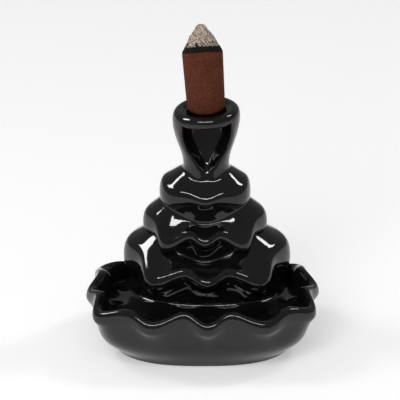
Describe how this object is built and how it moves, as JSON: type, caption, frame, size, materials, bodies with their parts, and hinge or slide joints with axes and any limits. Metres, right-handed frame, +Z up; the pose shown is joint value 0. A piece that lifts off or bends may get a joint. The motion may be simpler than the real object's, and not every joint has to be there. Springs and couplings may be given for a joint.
{
  "type": "backflow incense burner",
  "caption": "Black-glazed slip-cast waterfall burner: scalloped tiers rising from a wavy basin to a dish and niche, with a brown backflow incense cone on top.",
  "frame": {"origin": "on the ground, in the flat of the foot, under the middle of the basin", "axes": "+Z up through the dish and the cone, -Y to the front with the niche and the basin, +X to the right seen from the front"},
  "size_m": [0.0796, 0.0619, 0.1112],
  "materials": {
    "black_glaze": "glossy black glaze, thin and reddish brown on the sharpest rims",
    "incense": "matt pressed wood powder, charred black and burnt to pale ash at the tip"
  },
  "bodies": {
    "root": {"burner_body": "black_glaze", "incense_cone": "incense"}
  },
  "joints": []
}
